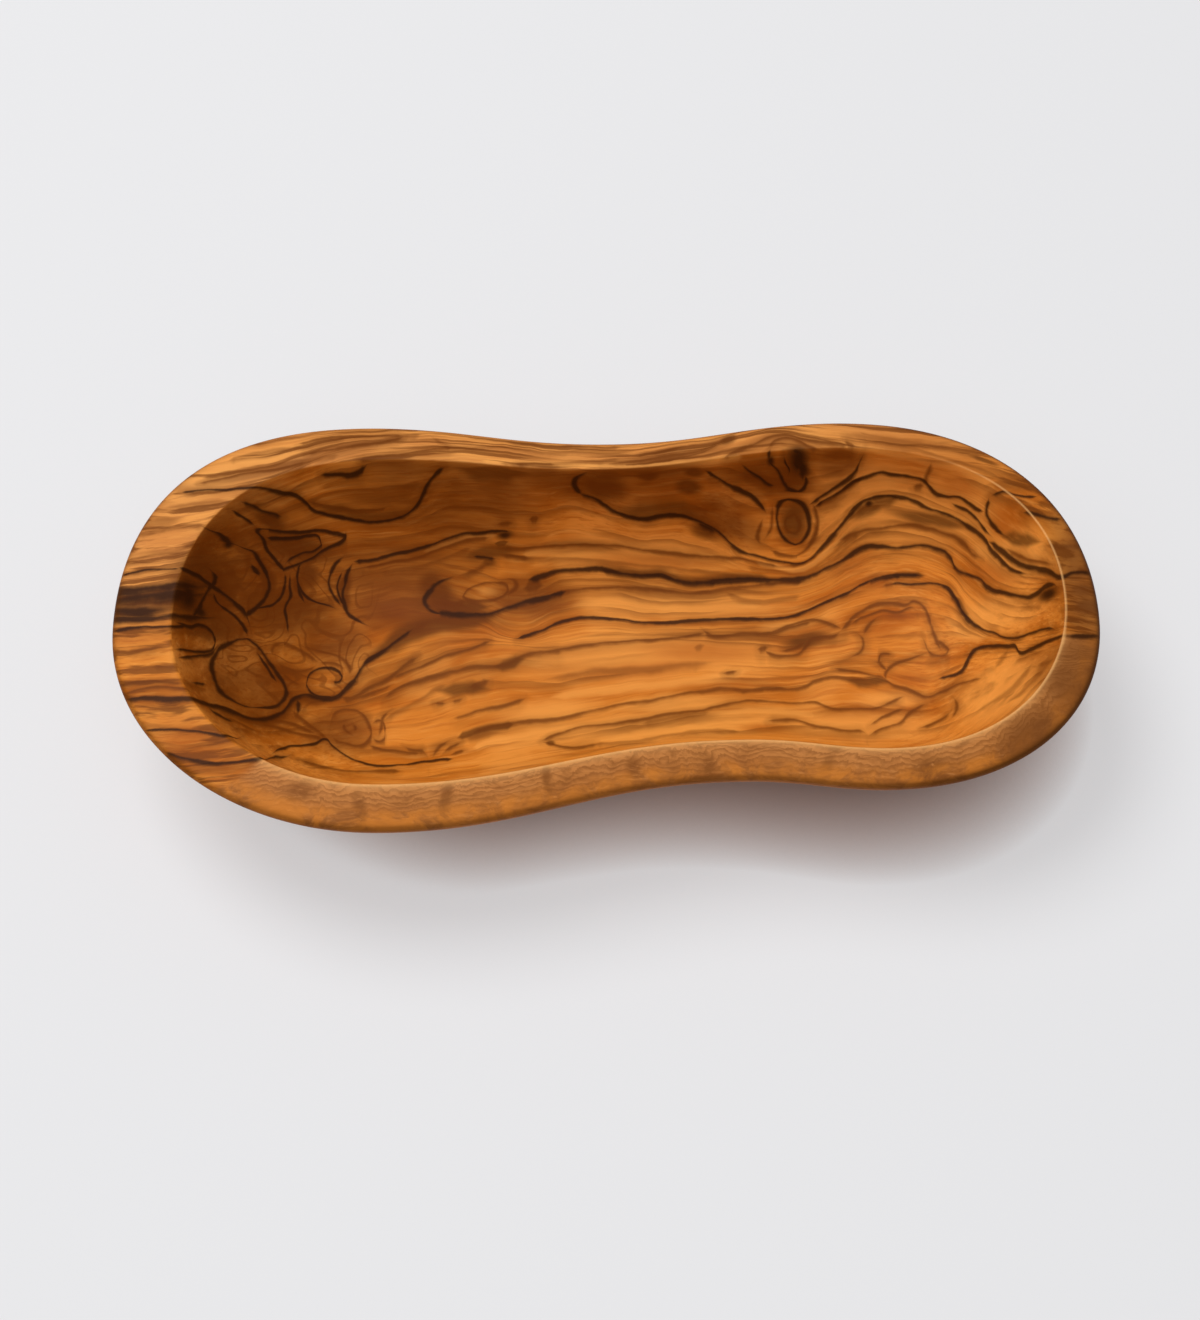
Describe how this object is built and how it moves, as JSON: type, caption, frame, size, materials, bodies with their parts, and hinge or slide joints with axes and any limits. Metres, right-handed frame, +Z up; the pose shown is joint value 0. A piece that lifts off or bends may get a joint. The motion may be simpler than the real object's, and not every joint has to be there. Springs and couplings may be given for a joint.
{
  "type": "waisted wooden bowl",
  "caption": "Long waisted bowl carved from one block of olive wood, with a broad flat rim, a round-bottomed hollow for serving and a flat base to stand on.",
  "frame": {"origin": "on the table, under the middle of the bowl's outline seen from above", "axes": "+X along the bowl towards its right lobe, +Y across it from the front to the back, +Z up out of the mouth"},
  "size_m": [0.26, 0.125, 0.045],
  "materials": {
    "olive_wood": "sanded smooth and oiled to a satin sheen"
  },
  "bodies": {
    "root": {"bowl": "olive_wood"}
  },
  "joints": []
}
